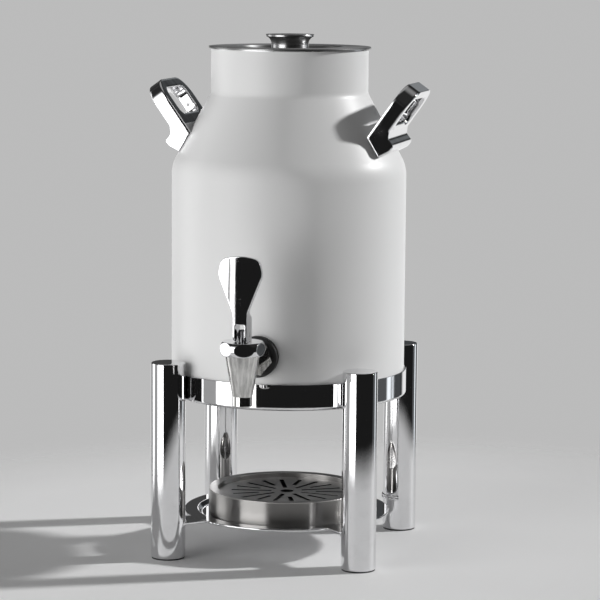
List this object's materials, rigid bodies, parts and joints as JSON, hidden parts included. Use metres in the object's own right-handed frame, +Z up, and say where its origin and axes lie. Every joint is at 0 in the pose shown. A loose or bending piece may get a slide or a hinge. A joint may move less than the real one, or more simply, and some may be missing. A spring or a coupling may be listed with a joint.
{
  "type": "beverage urn",
  "caption": "Insulated beverage urn with a coned shoulder, loop handles, lift-off lid and lever tap, held in a ring on round legs above a shelf with a drip tray.",
  "frame": {"origin": "point on the table under the urn's own axis, in the middle of the four legs", "axes": "+Z up along the urn's axis, -Y towards the tap, +X to the right when the tap is seen from the front"},
  "size_m": [0.2812, 0.3234, 0.5279],
  "materials": {
    "legs": "mirror polished",
    "stand_chrome": "mirror polished",
    "glide": "matt",
    "fastener": "plain",
    "white_paint": "satin",
    "inner_steel": "satin",
    "spacer_plastic": "matt",
    "handle_chrome": "mirror polished",
    "tap_chrome": "mirror polished",
    "valve_steel": "plain",
    "black_rubber": "matt",
    "seal_rubber": "matt",
    "lid_steel": "polished",
    "knob_chrome": "polished",
    "tray_steel": "brushed"
  },
  "bodies": {
    "stand": {"leg_front_left": "legs", "leg_front_right": "legs", "leg_back_left": "legs", "leg_back_right": "legs", "foot_glides": "glide", "ring_screws": "fastener", "cradle_ring": "stand_chrome", "shelf_plate": "stand_chrome"},
    "urn": {"shell_base": "white_paint", "outer_shell": "white_paint", "shell_shoulder": "white_paint", "shell_neck": "white_paint", "base_disc": "inner_steel", "liner_spacer": "spacer_plastic", "liner_bottom": "inner_steel", "inner_liner": "inner_steel", "liner_shoulder": "inner_steel", "liner_neck": "inner_steel", "handle_left": "handle_chrome", "handle_right": "handle_chrome", "handle_screws": "fastener", "tap_spout": "tap_chrome", "tap_body": "tap_chrome", "tap_shank": "tap_chrome", "tap_washer": "black_rubber", "wall_sleeve": "spacer_plastic", "inner_seal": "seal_rubber", "lock_nut": "fastener", "bonnet": "tap_chrome", "valve_spring": "valve_steel"},
    "lid": {"lid_pan": "lid_steel", "lid_skirt": "lid_steel", "lid_knob": "knob_chrome", "knob_washer": "fastener", "knob_screw": "fastener"},
    "stem": {"stem": "valve_steel", "seat_cup": "seal_rubber"},
    "lever": {"lever": "tap_chrome", "lever_pin": "fastener"},
    "drip_tray": {"tray_floor": "tray_steel", "drip_tray": "tray_steel", "tray_rim": "tray_steel"},
    "drip_grate": {"drip_grate": "tray_steel"}
  },
  "joints": [
    {"name": "urn_lift", "type": "slide", "parent": "stand", "child": "urn", "axis": [0, 0, 1], "range_m": [0, 0.06]},
    {"name": "lid_lift", "type": "slide", "parent": "urn", "child": "lid", "axis": [0, 0, 1], "range_m": [0, 0.06]},
    {"name": "stem_lift", "type": "slide", "parent": "urn", "child": "stem", "axis": [0, 0, 1], "range_m": [0, 0.0032], "deforming": ["valve_spring"]},
    {"name": "lever_tilt", "type": "hinge", "parent": "stem", "child": "lever", "pos_m": [0, -0.179, 0.244], "axis": [1, 0, 0], "range_deg": [0, 45], "stiffness_Nm_per_rad": 0.05, "springref_deg": -34.38},
    {"name": "tray_lift", "type": "slide", "parent": "stand", "child": "drip_tray", "axis": [0, 0, 1], "range_m": [0, 0.045]},
    {"name": "grate_lift", "type": "slide", "parent": "drip_tray", "child": "drip_grate", "axis": [0, 0, 1], "range_m": [0, 0.04]}
  ],
  "couplings": [
    {"joint": "stem_lift", "follows": "lever_tilt", "m_per_rad": 0.004}
  ]
}
